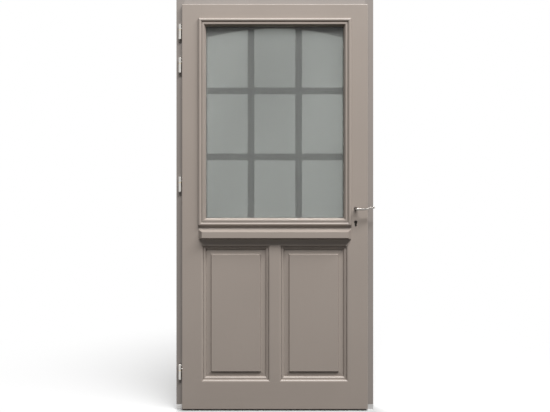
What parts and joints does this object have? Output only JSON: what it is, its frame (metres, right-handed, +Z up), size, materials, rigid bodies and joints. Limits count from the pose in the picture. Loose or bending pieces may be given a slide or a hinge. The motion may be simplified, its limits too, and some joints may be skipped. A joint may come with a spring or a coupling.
{
  "type": "panelled front door with frame",
  "caption": "Panelled, glazed entrance door hung in its rebated frame, with moulded raised panels, an arched glazed upper part, ledges, lever lock, hinges, seals and threshold.",
  "frame": {"origin": "middle of the threshold's underside across the width, halfway through the frame's depth", "axes": "+X to the right as seen from indoors (lock side), +Y outdoors, +Z up"},
  "size_m": [1.035, 0.1544, 2.156],
  "materials": {
    "frame_paint": "satin paint, grey beige",
    "leaf_paint": "satin paint, warm grey beige",
    "aluminium": "satin mill finish",
    "rubber": "matt",
    "glass": "satin obscured",
    "chrome": "polished",
    "hinge_steel": "light satin nickel",
    "lock_steel": "brushed",
    "zinc_steel": "zinc plated",
    "brass": "plain"
  },
  "bodies": {
    "frame": {"hinge_jamb": "frame_paint", "lock_jamb": "frame_paint", "frame_head": "frame_paint", "threshold": "aluminium", "hinge_side_seal": "rubber", "lock_side_seal": "rubber", "head_seal": "rubber", "strike_plate": "lock_steel", "strike_screws": "zinc_steel", "top_hinge_frame_half": "hinge_steel", "second_hinge_frame_half": "hinge_steel", "middle_hinge_frame_half": "hinge_steel", "bottom_hinge_frame_half": "hinge_steel", "hinge_pins": "zinc_steel", "hinge_washers": "brass"},
    "leaf": {"hinge_stile": "leaf_paint", "lock_stile": "leaf_paint", "top_rail": "leaf_paint", "middle_rail": "leaf_paint", "bottom_rail": "leaf_paint", "lower_mullion": "leaf_paint", "left_panel": "leaf_paint", "right_panel": "leaf_paint", "top_bead": "leaf_paint", "bottom_bead": "leaf_paint", "left_bead": "leaf_paint", "right_bead": "leaf_paint", "inner_glass": "glass", "outer_glass": "glass", "glass_spacer": "aluminium", "setting_blocks": "rubber", "left_upright_bar": "leaf_paint", "right_upright_bar": "leaf_paint", "upper_cross_bar": "leaf_paint", "lower_cross_bar": "leaf_paint", "inside_ledge": "leaf_paint", "outside_ledge": "leaf_paint", "weather_bar": "leaf_paint", "bottom_seal": "rubber", "top_hinge_leaf_half": "hinge_steel", "second_hinge_leaf_half": "hinge_steel", "middle_hinge_leaf_half": "hinge_steel", "bottom_hinge_leaf_half": "hinge_steel", "lock_case": "zinc_steel", "lock_cover": "zinc_steel", "lock_faceplate": "lock_steel", "faceplate_screws": "zinc_steel"},
    "lever": {"lever": "chrome", "lever_screw": "zinc_steel", "spindle": "zinc_steel", "follower": "zinc_steel"},
    "latch": {"latch_bolt": "lock_steel"},
    "dead_bolt": {"dead_bolt": "lock_steel"}
  },
  "joints": [
    {"name": "leaf_swing", "type": "hinge", "parent": "frame", "child": "leaf", "pos_m": [-0.496, -0.04225, 1.078], "axis": [0, 0, -1], "range_deg": [0, 110]},
    {"name": "lever_turn", "type": "hinge", "parent": "leaf", "child": "lever", "pos_m": [0.4225, -0.01325, 1.056], "axis": [0, 1, 0], "range_deg": [0, 35], "stiffness_Nm_per_rad": 1, "springref_deg": -28.65},
    {"name": "latch_slide", "type": "slide", "parent": "leaf", "child": "latch", "axis": [-1, 0, 0], "range_m": [0, 0.01203]},
    {"name": "dead_bolt_slide", "type": "slide", "parent": "leaf", "child": "dead_bolt", "axis": [1, 0, 0], "range_m": [0, 0.02]}
  ],
  "couplings": [
    {"joint": "latch_slide", "follows": "lever_turn", "m_per_rad": 0.01969}
  ]
}
